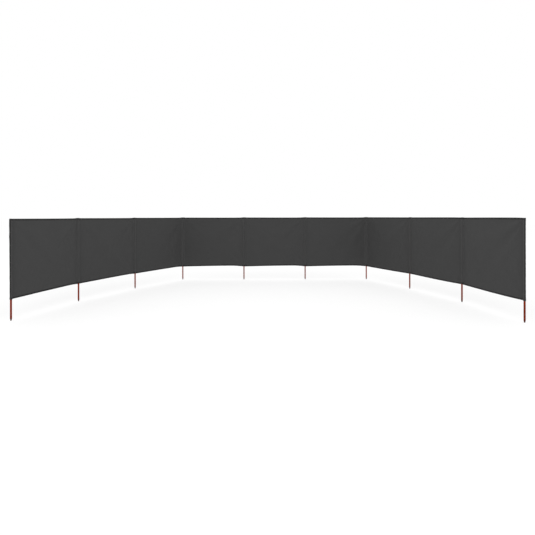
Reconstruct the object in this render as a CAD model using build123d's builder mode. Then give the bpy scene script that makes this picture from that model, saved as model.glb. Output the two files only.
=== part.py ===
from build123d import *
import os
from math import acos, atan2, cos, sin

# Beach windbreak: one long cloth with pole pockets, stood up on ten wooden poles as an open U.
# The origin is in the flat end of pole 5, +X runs along the back row, +Y points to the windy side
# and +Z up. Poles, pockets and bays are numbered from the left, seen from the sheltered side.

# Poles
POLE_DIAMETER = 25
POLE_LENGTH = 1350
FOOT_LENGTH = 30
FOOT_DIAMETER = 12
CROWN_RADIUS = 4

# Cloth, with a hem folded to the sheltered side along both long edges
CLOTH_HEIGHT = 1070
CLOTH_THICKNESS = 1
HEM_HEIGHT = 25
HEM_THICKNESS = 2
TOP_SAG = 8
BOTTOM_RISE = 12

# Pole pockets, on the sheltered side of the cloth and closed at the top
POCKET_CLEARANCE = 0.3
POCKET_EASE = 10
SEAM_WIDTH = 12

# Plan: the bays are equally long, and each has its own heading in degrees from +X
BAY_PITCH = 1333
BAY_HEADINGS = (76, 66, 59, 0, 0, 0, -66, -72, -81)
ORIGIN_POLE = 5

# Heights
CLOTH_TOP = POLE_LENGTH + CLOTH_THICKNESS
CLOTH_BOTTOM = CLOTH_TOP - CLOTH_HEIGHT

# Pocket section, seen from above: the cloth passes the windy side of the pole, and the pocket
# leaves it at the lip of the seam and runs straight to the round of the pole
BORE_RADIUS = POLE_DIAMETER / 2 + POCKET_CLEARANCE
POCKET_RADIUS = BORE_RADIUS + CLOTH_THICKNESS
SEAM_THICKNESS = 2 * CLOTH_THICKNESS
SEAM_LIP = Vector(POCKET_RADIUS + POCKET_EASE, POCKET_RADIUS - SEAM_THICKNESS)
SEAM_END = SEAM_LIP.X + SEAM_WIDTH
TOUCH_ANGLE = atan2(SEAM_LIP.Y, SEAM_LIP.X) - acos(POCKET_RADIUS / SEAM_LIP.length)
TOUCH_POINT = Vector(cos(TOUCH_ANGLE), sin(TOUCH_ANGLE)) * POCKET_RADIUS

STANDING = (Align.CENTER, Align.CENTER, Align.MIN)

# Where the poles stand
bay_directions = [Vector(1, 0).rotate(Axis.Z, heading) for heading in BAY_HEADINGS]
steps = [Vector(0, 0)]
for direction in bay_directions:
    steps.append(steps[-1] + direction * BAY_PITCH)
pole_places = [step - steps[ORIGIN_POLE - 1] for step in steps]


def windward(direction):
    """The level direction from a bay to its windy side."""
    return direction.rotate(Axis.Z, 90)


def build_pole(number):
    """A round pole with a blunt point, its flat end on the ground and its crown rounded."""
    place = pole_places[number - 1]
    with BuildPart() as pole:
        with Locations(place):
            Cone(FOOT_DIAMETER / 2, POLE_DIAMETER / 2, FOOT_LENGTH, align=STANDING)
        with Locations(place + Vector(0, 0, FOOT_LENGTH)):
            Cylinder(POLE_DIAMETER / 2, POLE_LENGTH - FOOT_LENGTH, align=STANDING)
        fillet(pole.edges().sort_by(Axis.Z)[-1], CROWN_RADIUS)
    pole.part.label = f"pole_{number}"
    export_step(pole.part, f"parts/pole_{number}.step")


def pocket_side(place, along, outward):
    """The plan of a pocket on one side of its pole, from the pole's axis to the end of the seam."""
    outline = [
        (0, 0),
        (0, POCKET_RADIUS),
        (SEAM_END, POCKET_RADIUS),
        (SEAM_END, SEAM_LIP.Y),
        (SEAM_LIP.X, SEAM_LIP.Y),
        (TOUCH_POINT.X, TOUCH_POINT.Y),
    ]
    return [place + along * reach + outward * out for reach, out in outline]


def build_pocket(number):
    """A pocket round one pole, with the cloth that passes behind it and the seams beside it."""
    place = pole_places[number - 1]
    sides = []
    if number > 1:
        arriving = bay_directions[number - 2]
        sides.append(pocket_side(place, -arriving, windward(arriving)))
    if number < len(pole_places):
        leaving = bay_directions[number - 1]
        sides.append(pocket_side(place, leaving, windward(leaving)))
    with BuildPart() as pocket:
        with BuildSketch(Plane.XY.offset(CLOTH_BOTTOM)):
            with Locations(place):
                Circle(POCKET_RADIUS)
            for side in sides:
                with BuildLine():
                    Polyline(*side, close=True)
                make_face()
        extrude(amount=CLOTH_HEIGHT)
        with Locations(place + Vector(0, 0, CLOTH_BOTTOM)):
            Cylinder(BORE_RADIUS, POLE_LENGTH - CLOTH_BOTTOM, align=STANDING, mode=Mode.SUBTRACT)
    pocket.part.label = f"pocket_{number}"
    export_step(pocket.part, f"parts/pocket_{number}.step")


def build_bay(number):
    """The cloth of one bay between two pockets, sagging a little above and rising below."""
    along = bay_directions[number - 1]
    outward = windward(along)
    windy_face = Plane(pole_places[number - 1] + outward * POCKET_RADIUS, along, -outward)
    start = SEAM_END
    middle = BAY_PITCH / 2
    end = BAY_PITCH - SEAM_END
    hem_edges = (
        (CLOTH_TOP, -TOP_SAG, -HEM_HEIGHT),
        (CLOTH_BOTTOM, BOTTOM_RISE, HEM_HEIGHT),
    )
    with BuildPart() as bay:
        with BuildSketch(windy_face):
            with BuildLine():
                upper = ThreePointArc((start, CLOTH_TOP), (middle, CLOTH_TOP - TOP_SAG), (end, CLOTH_TOP))
                lower = ThreePointArc(
                    (start, CLOTH_BOTTOM), (middle, CLOTH_BOTTOM + BOTTOM_RISE), (end, CLOTH_BOTTOM)
                )
                Line(upper @ 0, lower @ 0)
                Line(upper @ 1, lower @ 1)
            make_face()
        extrude(amount=CLOTH_THICKNESS)
        with BuildSketch(windy_face):
            for edge, bow, depth in hem_edges:
                with BuildLine():
                    fold = ThreePointArc((start, edge), (middle, edge + bow), (end, edge))
                    raw = ThreePointArc(
                        (start, edge + depth), (middle, edge + depth + bow), (end, edge + depth)
                    )
                    Line(fold @ 0, raw @ 0)
                    Line(fold @ 1, raw @ 1)
                make_face()
        extrude(amount=HEM_THICKNESS)
    bay.part.label = f"cloth_bay_{number}"
    export_step(bay.part, f"parts/cloth_bay_{number}.step")


os.makedirs("parts", exist_ok=True)
for pole_number in range(1, len(pole_places) + 1):
    build_pole(pole_number)
    build_pocket(pole_number)
for bay_number in range(1, len(bay_directions) + 1):
    build_bay(bay_number)
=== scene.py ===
"""Dresses the beach windbreak: one long cloth with pole pockets, its stitching and its stained poles."""
import logging
import math
from dataclasses import dataclass, field
from enum import Enum

import bpy
import numpy as np
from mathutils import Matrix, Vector

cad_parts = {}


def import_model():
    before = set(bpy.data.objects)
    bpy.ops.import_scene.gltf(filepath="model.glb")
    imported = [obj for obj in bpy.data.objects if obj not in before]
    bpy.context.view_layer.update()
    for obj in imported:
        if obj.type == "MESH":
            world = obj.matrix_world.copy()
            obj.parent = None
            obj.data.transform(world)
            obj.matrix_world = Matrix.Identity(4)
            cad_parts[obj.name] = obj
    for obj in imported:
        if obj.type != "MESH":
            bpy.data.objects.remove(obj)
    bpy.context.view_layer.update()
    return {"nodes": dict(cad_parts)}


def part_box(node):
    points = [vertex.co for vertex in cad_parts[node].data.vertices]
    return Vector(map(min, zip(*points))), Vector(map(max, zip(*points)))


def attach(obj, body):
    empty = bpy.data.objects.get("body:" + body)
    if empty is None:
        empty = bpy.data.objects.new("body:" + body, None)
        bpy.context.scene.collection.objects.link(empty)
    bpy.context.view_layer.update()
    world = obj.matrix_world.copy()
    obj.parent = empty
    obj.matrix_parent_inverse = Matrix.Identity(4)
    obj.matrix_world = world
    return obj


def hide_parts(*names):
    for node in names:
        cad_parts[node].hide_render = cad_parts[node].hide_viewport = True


LOG = logging.getLogger("windbreak")
BODY = "root"
SEED = 4107
POCKET_SEED = SEED + 100
POLE_SEED = SEED + 200
CLOTH_MAP = "cloth_run"
CLOTH_LAYERS = "layers"
CLOTH_NORMAL = "cloth_normal"
WOOD_STAIN = "stain"
# How many layers a hem shows as; the cloth's material paints shade by this count.
HEM_LAYERS = 3.0
# How high the blunt, darker foot of a pole reaches, in metres.
FOOT_HEIGHT = 0.030
# Edges of the cloth that turn more sharply than this, in degrees, stay sharp.
CLOTH_SHARP = 60.0
# Keeps a division by no length at all from failing.
TINY = 1e-12

Colour = tuple[float, float, float]
Point = tuple[float, float, float]
Stretch = tuple[float, float]
Links = dict[str | int, object]
Sockets = dict[str, bpy.types.NodeSocket]


class Face(Enum):
    """The two faces of the cloth, as a sign along the way to the sheltered side."""

    WINDY = -1
    SHELTERED = 1


class Held(Enum):
    """How a sheet of cloth is held."""

    STRETCHED = "stretched"
    FOLDED = "folded"


class Slot(Enum):
    """The record's material slots."""

    WOOD = "pole_wood"
    CLOTH = "windbreak_cloth"
    POCKET = "pocket_cloth"


def rgb(red: int, green: int, blue: int) -> Colour:
    """Turns a colour as a screen shows it into the linear one that shaders take, by the sRGB formula.

    Args:
        red: The red share, from 0 to 255.
        green: The green share, from 0 to 255.
        blue: The blue share, from 0 to 255.

    Returns:
        The linear colour.
    """
    shares = [share / 255 for share in (red, green, blue)]
    return tuple(s / 12.92 if s <= 0.04045 else ((s + 0.055) / 1.055) ** 2.4 for s in shares)


def ease(value: np.ndarray, start: float, end: float) -> np.ndarray:
    """Climbs smoothly from 0 at start to 1 at end.

    Args:
        value: Where to read the slope.
        start: Where it leaves 0.
        end: Where it reaches 1.

    Returns:
        The height of the slope at each value.
    """
    share = np.clip((value - start) / (end - start), 0, 1)
    return share * share * (3 - 2 * share)


def bell(distance: np.ndarray, width: float) -> np.ndarray:
    """A bump that is 1 at no distance and fades over its width."""
    return np.exp(-((distance / width) ** 2))


def hump(share: np.ndarray) -> np.ndarray:
    """A bump that is 1 halfway and 0 at both ends."""
    return 4 * share * (1 - share)


def skewed_arch(share: np.ndarray, peak: float) -> np.ndarray:
    """Climbs from 0 to 1 and back to 0, with its peak off the middle.

    Args:
        share: Where to read the arch, from 0 to 1.
        peak: Where the arch is highest.

    Returns:
        The height of the arch at each share.
    """
    climb = np.where(share < peak, share / peak, (1 - share) / (1 - peak))
    return np.sin(math.pi / 2 * climb)


@dataclass(frozen=True)
class WaveBand:
    """The waves of an uneven surface: their shortest and longest length, in metres, and their number."""

    shortest: float
    longest: float
    waves: int


@dataclass(frozen=True)
class Ripples:
    """A smooth, uneven surface made of a few plane waves."""

    across: np.ndarray
    up: np.ndarray
    start: np.ndarray

    @classmethod
    def draw(cls, rng: np.random.Generator, band: WaveBand) -> "Ripples":
        """Draws the waves.

        Args:
            rng: Where the waves are drawn from.
            band: Their lengths and their number.

        Returns:
            The surface.
        """
        lengths = np.exp(rng.uniform(math.log(band.shortest), math.log(band.longest), band.waves))
        turns = rng.uniform(0, math.pi, band.waves)
        start = rng.uniform(0, 2 * math.pi, band.waves)
        return cls(2 * math.pi / lengths * np.cos(turns), 2 * math.pi / lengths * np.sin(turns), start)

    def __call__(self, across: np.ndarray, up: np.ndarray) -> np.ndarray:
        """Reads the surface.

        Args:
            across: Places along the cloth, in metres.
            up: Heights, in metres.

        Returns:
            Heights of about -1 to 1.
        """
        total = np.zeros(np.broadcast(across, up).shape)
        for kx, ky, start in zip(self.across, self.up, self.start):
            total = total + np.cos(kx * across + ky * up + start)
        return total / math.sqrt(2 * len(self.start))


@dataclass(frozen=True)
class Plan:
    """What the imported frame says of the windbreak: its poles, and how high the cloth hangs."""

    poles: np.ndarray
    pole_radius: float
    pole_length: float
    cloth_bottom: float
    cloth_top: float

    @classmethod
    def from_frame(cls, nodes: dict[str, bpy.types.Object]) -> "Plan":
        """Reads the poles and the cloth's height from the frame's nodes.

        Args:
            nodes: The frame's nodes by name.

        Returns:
            The plan.
        """
        count = sum(name.startswith("pole_") for name in nodes)
        boxes = [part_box(f"pole_{number}") for number in range(1, count + 1)]
        low, high = boxes[0]
        cloth_low, cloth_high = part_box("pocket_1")
        return cls(
            poles=np.array([[(a.x + b.x) / 2, (a.y + b.y) / 2] for a, b in boxes]),
            pole_radius=(high.x - low.x) / 2,
            pole_length=high.z,
            cloth_bottom=cloth_low.z,
            cloth_top=cloth_high.z,
        )

    def share_up(self, height: np.ndarray) -> np.ndarray:
        """How far up the cloth each height is, from 0 to 1."""
        return np.clip((height - self.cloth_bottom) / (self.cloth_top - self.cloth_bottom), 0, 1)


@dataclass(frozen=True)
class ClothSizes:
    """Sizes that the bays and the pockets share, in metres."""

    thickness: float = 0.0006
    clearance: float = 0.0003
    hem: float = 0.025
    fold_gap: float = 0.0014
    seam_lip: float = 0.024
    seam_end: float = 0.036
    pocket_stack: float = 0.0010
    crown_lift: float = 0.0028
    crown_spread: float = 0.038
    stitch_margin: float = 0.004
    stitch_step: float = 0.012
    tone_edge: float = 0.0006
    # How far beside a hem the cloth's step fades.
    hem_fade: float = 0.012
    # The share of the cloth's height at which the bumps over the poles begin.
    crown_share: float = 0.94
    # How many rows lie round a fold, between its two leaves.
    fold_rows: int = 4

    def crown(self, at_end: bool) -> float:
        """How far the top edge stands up over a pole: not at all at the ends."""
        return 0.0 if at_end else self.crown_lift

    def stacked(self, share: np.ndarray) -> np.ndarray:
        """How many layers of cloth show where a hem lies to a share of 0 to 1."""
        return 1 + (HEM_LAYERS - 1) * share

    def fold_angles(self) -> np.ndarray:
        """How far each row round a fold is turned, in radians."""
        return np.linspace(0, math.pi, self.fold_rows + 2)[1:-1]

    def in_hem(self, edge: np.ndarray) -> np.ndarray:
        """The share to which a hem lies at each distance from an edge of the cloth, with a sharp end."""
        return 1 - ease(edge, self.hem - self.tone_edge, self.hem + self.tone_edge)


class ClothRun:
    """The way of the cloth in plan: straight along each bay and round the windy side of each pole."""

    def __init__(self, poles: np.ndarray, radius: float) -> None:
        """Works out the stretches of the run.

        Args:
            poles: The poles' places, one row each.
            radius: From a pole's axis to the middle of the cloth.
        """
        self.poles = poles
        self.radius = radius
        steps = np.diff(poles, axis=0)
        self.pitches = np.hypot(steps[:, 0], steps[:, 1])
        self.headings = np.arctan2(steps[:, 1], steps[:, 0])
        turns = -np.diff(self.headings)
        self.half_wraps = np.concatenate([[0.0], radius * turns / 2, [0.0]])
        self.starts = []
        centre = 0.0
        for bay, pitch in enumerate(self.pitches):
            self.starts.append(centre + self.half_wraps[bay])
            centre = self.starts[-1] + pitch + self.half_wraps[bay + 1]

    def ends_at(self, pole: int) -> bool:
        """Tells whether the run begins or ends at a pole, counted from 0."""
        return pole in (0, len(self.pitches))

    def direction(self, bay: int) -> np.ndarray:
        """The level direction of a bay."""
        return np.array([math.cos(self.headings[bay]), math.sin(self.headings[bay])])

    def windward(self, bay: int) -> np.ndarray:
        """The level direction from a bay to its windy side."""
        return np.array([-math.sin(self.headings[bay]), math.cos(self.headings[bay])])

    def place(self, bay: int, along: np.ndarray, depth: np.ndarray) -> tuple[np.ndarray, np.ndarray]:
        """Finds points on the cloth's way from the middle of one wrap to the middle of the next.

        Args:
            bay: The bay, counted from 0.
            along: Places along the bay's straight stretch, which starts at 0; a place beyond either
                end is on the wrap round that pole.
            depth: How far each point stands to the sheltered side.

        Returns:
            The points in plan and the level directions to the sheltered side.
        """
        along, depth = np.broadcast_arrays(along, depth)
        pitch = self.pitches[bay]
        turn = np.where(along < 0, -along, np.where(along > pitch, pitch - along, 0.0)) / self.radius
        turn = np.where((along < 0) & self.ends_at(bay), 0.0, turn)
        turn = np.where((along > pitch) & self.ends_at(bay + 1), 0.0, turn)
        angle = self.headings[bay] + math.pi / 2 + turn
        outward = np.stack([np.cos(angle), np.sin(angle)], axis=-1)
        straight = np.where(turn == 0, along, np.where(along < 0, 0.0, pitch))
        foot = self.poles[bay] + straight[..., None] * self.direction(bay)
        return foot + outward * (self.radius - depth)[..., None], -outward


def add_object(name: str, mesh: bpy.types.Mesh) -> bpy.types.Object:
    """Puts a mesh into the scene at the origin.

    Args:
        name: The object's name.
        mesh: The mesh, with its place in its points.

    Returns:
        The new object.
    """
    added = bpy.data.objects.new(name, mesh)
    bpy.context.scene.collection.objects.link(added)
    return added


def smooth(mesh: bpy.types.Mesh, sharp_degrees: float) -> None:
    """Shades a mesh smoothly, apart from its sharp edges.

    Args:
        mesh: The mesh.
        sharp_degrees: How sharply the faces at an edge turn where it stays sharp.
    """
    mesh.polygons.foreach_set("use_smooth", np.ones(len(mesh.polygons), bool))
    mesh.set_sharp_from_angle(angle=math.radians(sharp_degrees))


def shell_faces(rows: int, columns: int) -> np.ndarray:
    """Lists the faces of a closed sheet: its front, its back and the rim between them.

    Args:
        rows: How many rows of points the front has.
        columns: How many columns it has.

    Returns:
        Four point numbers for each face; the back's points follow the front's.
    """
    index = np.arange(rows * columns).reshape(rows, columns)
    front = np.stack([index[:-1, :-1], index[:-1, 1:], index[1:, 1:], index[1:, :-1]], axis=-1)
    front = front.reshape(-1, 4)
    under = rows * columns
    border = np.concatenate([index[0, :-1], index[:-1, -1], index[-1, :0:-1], index[:0:-1, 0]])
    following = np.roll(border, -1)
    rim = np.stack([following, border, border + under, following + under], axis=-1)
    return np.concatenate([front, front[:, ::-1] + under, rim])


def shell(
    name: str, grid: np.ndarray, thickness: float, run: np.ndarray, layers: np.ndarray
) -> bpy.types.Object:
    """Makes a closed sheet of even thickness from a grid of points down its middle.

    Args:
        name: The piece's name.
        grid: Points of the middle of the sheet, in rows and columns.
        thickness: The sheet's thickness.
        run: Two cloth coordinates for each point, in metres.
        layers: How many layers of cloth show at each point.

    Returns:
        The sheet.
    """
    normals = np.cross(np.gradient(grid, axis=1), np.gradient(grid, axis=0))
    normals /= np.maximum(np.linalg.norm(normals, axis=2, keepdims=True), TINY)
    half = normals * thickness / 2
    points = np.concatenate([(grid + half).reshape(-1, 3), (grid - half).reshape(-1, 3)])
    mesh = bpy.data.meshes.new(name)
    mesh.from_pydata(points.tolist(), [], shell_faces(*grid.shape[:2]).tolist())
    smooth(mesh, CLOTH_SHARP)
    corners = np.empty(len(mesh.loops), np.int32)
    mesh.loops.foreach_get("vertex_index", corners)
    flat = np.tile(run.reshape(-1, 2), (2, 1)).astype(np.float32)
    mesh.uv_layers.new(name=CLOTH_MAP).data.foreach_set("uv", flat[corners].ravel())
    stacked = np.tile(np.broadcast_to(layers, grid.shape[:2]).ravel(), 2).astype(np.float32)
    mesh.attributes.new(CLOTH_LAYERS, "FLOAT", "POINT").data.foreach_set("value", stacked)
    return add_object(name, mesh)


class Nodes:
    """A short way to write a tree of nodes."""

    def __init__(self, tree: bpy.types.NodeTree, prefix: str) -> None:
        """Starts on an empty tree.

        Args:
            tree: The tree.
            prefix: What the types of most of its nodes begin with.
        """
        self.tree = tree
        self.prefix = prefix
        tree.nodes.clear()

    def add(self, kind: str, links: Links | None = None, **settings: object) -> bpy.types.Node:
        """Adds a node.

        Args:
            kind: The node's type, whole or without the prefix.
            links: For each input, by name or number, a socket to link or a value to set.
            **settings: Properties of the node.

        Returns:
            The node.
        """
        node = self.tree.nodes.new(kind if "Node" in kind else self.prefix + kind)
        for key, value in settings.items():
            setattr(node, key, value)
        for key, value in (links or {}).items():
            socket = node.inputs[key]
            if isinstance(value, bpy.types.NodeSocket):
                self.tree.links.new(value, socket)
            else:
                socket.default_value = value
        return node

    def math(self, operation: str, *values: object) -> bpy.types.NodeSocket:
        """Adds a sum of sockets and numbers and returns its result."""
        return self.add("ShaderNodeMath", dict(enumerate(values)), operation=operation).outputs[0]

    def remap(
        self, value: bpy.types.NodeSocket, low: object, high: object, start: object, end: object
    ) -> bpy.types.NodeSocket:
        """Maps a stretch of values onto another, and holds what lies beyond it.

        Args:
            value: The value.
            low: Where the stretch begins.
            high: Where it ends.
            start: What the value becomes at low.
            end: What it becomes at high.

        Returns:
            The mapped value.
        """
        links = {"Value": value, 1: low, 2: high, 3: start, 4: end}
        return self.add("ShaderNodeMapRange", links).outputs[0]

    def mix(self, share: object, first: object, second: object) -> bpy.types.NodeSocket:
        """Mixes two colours.

        Args:
            share: The share of the second colour.
            first: The first colour.
            second: The second colour.

        Returns:
            The mixed colour.
        """
        return self.add("Mix", {"Factor": share, 6: first, 7: second}, data_type="RGBA").outputs[2]

    def shade(self, colour: object, tone: bpy.types.NodeSocket) -> bpy.types.NodeSocket:
        """Darkens or lightens a colour.

        Args:
            colour: The colour.
            tone: What it is multiplied by.

        Returns:
            The shaded colour.
        """
        grey = self.add("CombineColor", {0: tone, 1: tone, 2: tone}).outputs[0]
        links = {"Factor": 1.0, 6: colour, 7: grey}
        return self.add("Mix", links, data_type="RGBA", blend_type="MULTIPLY").outputs[2]

    def seen(self) -> bpy.types.NodeSocket:
        """Tells what the camera sees, straight or in gloss and glass, from light on the object.

        Returns:
            1 for what is seen, and 0 for light.
        """
        path = self.add("LightPath").outputs
        mirrored = self.math("MAXIMUM", path["Is Glossy Ray"], path["Is Transmission Ray"])
        return self.math("MAXIMUM", path["Is Camera Ray"], mirrored)


class MaterialNodes(Nodes):
    """The nodes of a new material."""

    def __init__(self, name: str) -> None:
        """Starts the material.

        Args:
            name: The material's name.
        """
        self.material = bpy.data.materials.new(name)
        self.material.use_nodes = True
        super().__init__(self.material.node_tree, "ShaderNode")

    def noise(self, place: bpy.types.NodeSocket, **inputs: float) -> bpy.types.NodeSocket:
        """Adds smooth noise.

        Args:
            place: Where to read it.
            **inputs: Values of its inputs, such as Scale and Detail.

        Returns:
            The noise, from 0 to 1.
        """
        return self.add("TexNoise", {"Vector": place, **inputs}).outputs["Fac"]

    def stretch(self, place: bpy.types.NodeSocket, scale: Point) -> bpy.types.NodeSocket:
        """Scales coordinates along each axis."""
        return self.add("Mapping", {"Vector": place, "Scale": scale}).outputs[0]

    def close(self, shader: bpy.types.Node) -> bpy.types.Material:
        """Ends the material in a shader and returns it."""
        self.add("OutputMaterial", {"Surface": shader.outputs[0]})
        return self.material


@dataclass(frozen=True)
class WovenCloth:
    """Matt woven polyester: fine threads both ways, a little uneven, with painted shade between its threads
    and where it lies in layers.
    """

    name: str
    colour: Colour
    # The share of the colour that is left where a hem's layers lie: painted shade, in place of the light
    # that a single layer lets through and the layers stop.
    layered_painted_shade_share: float = 0.42
    thread: float = 0.0013
    weave_depth: float = 0.00022
    weave_strength: float = 0.7
    # How sharply a thread dips under the next, and the painted shade between the threads and painted
    # highlight on them.
    weave_dip: float = 0.25
    weave_shade_tones: Stretch = (0.9, 1.07)
    # Pale and dark clouds over the cloth: their size, their edges and how much they fade it.
    cloud_scale: float = 2.6
    cloud_detail: float = 4.0
    cloud_roughness: float = 0.6
    cloud_edges: Stretch = (0.3, 0.7)
    fade: float = 0.035
    slub: float = 0.06
    slub_edges: Stretch = (0.25, 0.75)
    slub_scales: Stretch = (18.0, 480.0)
    roughness: float = 0.86
    uneven_roughness: float = 0.05
    gloss: float = 0.2
    sheen: float = 0.05
    sheen_roughness: float = 0.5

    def build(self) -> bpy.types.Material:
        """Makes the material, with its weave laid along the cloth.

        Returns:
            The material.
        """
        nodes = MaterialNodes(self.name)
        run = nodes.add("UVMap", uv_map=CLOTH_MAP).outputs[0]
        place = nodes.add("TexCoord").outputs["Object"]
        weave = self.weave(nodes, run)
        clouds = nodes.noise(
            place, Scale=self.cloud_scale, Detail=self.cloud_detail, Roughness=self.cloud_roughness
        )
        faded = nodes.remap(clouds, *self.cloud_edges, 1 - self.fade, 1 + self.fade)
        # Painted shade in the dips between threads and a painted highlight on their tops, read from the
        # weave's height.
        threads = nodes.remap(weave, 0.0, 1.0, *self.weave_shade_tones)
        # Painted shade: darker where the cloth lies in layers, in place of the light that passes through a
        # single layer.
        layers = nodes.add("Attribute", attribute_name=CLOTH_LAYERS).outputs["Fac"]
        stacked = nodes.remap(layers, 1.0, HEM_LAYERS, 1.0, self.layered_painted_shade_share)
        tone = nodes.math("MULTIPLY", nodes.math("MULTIPLY", faded, threads), self.slubs(nodes, run))
        colour = nodes.shade((*self.colour, 1.0), nodes.math("MULTIPLY", tone, stacked))
        smoother, rougher = self.roughness - self.uneven_roughness, self.roughness + self.uneven_roughness
        rough = nodes.remap(clouds, *self.cloud_edges, smoother, rougher)
        relief = {"Height": weave, "Distance": self.weave_depth, "Strength": self.weave_strength}
        bump = nodes.add("Bump", relief)
        shader = nodes.add(
            "BsdfPrincipled", {"Base Color": colour, "Roughness": rough, "Normal": bump.outputs[0]}
        )
        shader.inputs["Specular IOR Level"].default_value = self.gloss
        shader.inputs["Sheen Weight"].default_value = self.sheen
        shader.inputs["Sheen Roughness"].default_value = self.sheen_roughness
        return nodes.close(shader)

    def weave(self, nodes: MaterialNodes, run: bpy.types.NodeSocket) -> bpy.types.NodeSocket:
        """Works out the height of a plain weave: threads that pass over and under each other.

        Args:
            nodes: The material's nodes.
            run: The cloth's own coordinates, in metres.

        Returns:
            The height, from 0 to 1.
        """
        parts = nodes.add("SeparateXYZ", {0: run})
        turns = [nodes.math("MULTIPLY", parts.outputs[axis], math.pi / self.thread) for axis in (0, 1)]
        ribs = [nodes.math("ABSOLUTE", nodes.math("SINE", turn)) for turn in turns]
        over = nodes.math("MULTIPLY", *[nodes.math("COSINE", turn) for turn in turns])
        side = nodes.remap(over, -self.weave_dip, self.weave_dip, 0.0, 1.0)
        first = nodes.math("MULTIPLY", ribs[0], side)
        second = nodes.math("MULTIPLY", ribs[1], nodes.math("SUBTRACT", 1.0, side))
        return nodes.math("ADD", first, second)

    def slubs(self, nodes: MaterialNodes, run: bpy.types.NodeSocket) -> bpy.types.NodeSocket:
        """Works out the uneven tone of single threads along both ways of the cloth.

        Args:
            nodes: The material's nodes.
            run: The cloth's own coordinates, in metres.

        Returns:
            A tone near 1.
        """
        tones = []
        for scale in ((*self.slub_scales, 1.0), (*self.slub_scales[::-1], 1.0)):
            noise = nodes.noise(nodes.stretch(run, scale), Scale=1.0, Detail=1.0)
            tones.append(nodes.remap(noise, *self.slub_edges, 1 - self.slub, 1 + self.slub))
        return nodes.math("MULTIPLY", *tones)


@dataclass(frozen=True)
class SewingThread:
    """Twisted polyester thread."""

    name: str
    colour: Colour
    paler: float = 1.35
    twist_scale: float = 900.0
    roughness: float = 0.55
    sheen: float = 0.1

    def build(self) -> bpy.types.Material:
        """Makes the material, a little uneven along each seam.

        Returns:
            The material.
        """
        nodes = MaterialNodes(self.name)
        noise = nodes.noise(nodes.add("TexCoord").outputs["Object"], Scale=self.twist_scale, Detail=2.0)
        pale = tuple(min(1.0, share * self.paler) for share in self.colour)
        shader = nodes.add(
            "BsdfPrincipled", {"Base Color": nodes.mix(noise, (*self.colour, 1.0), (*pale, 1.0))}
        )
        shader.inputs["Roughness"].default_value = self.roughness
        shader.inputs["Sheen Weight"].default_value = self.sheen
        return nodes.close(shader)


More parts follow.
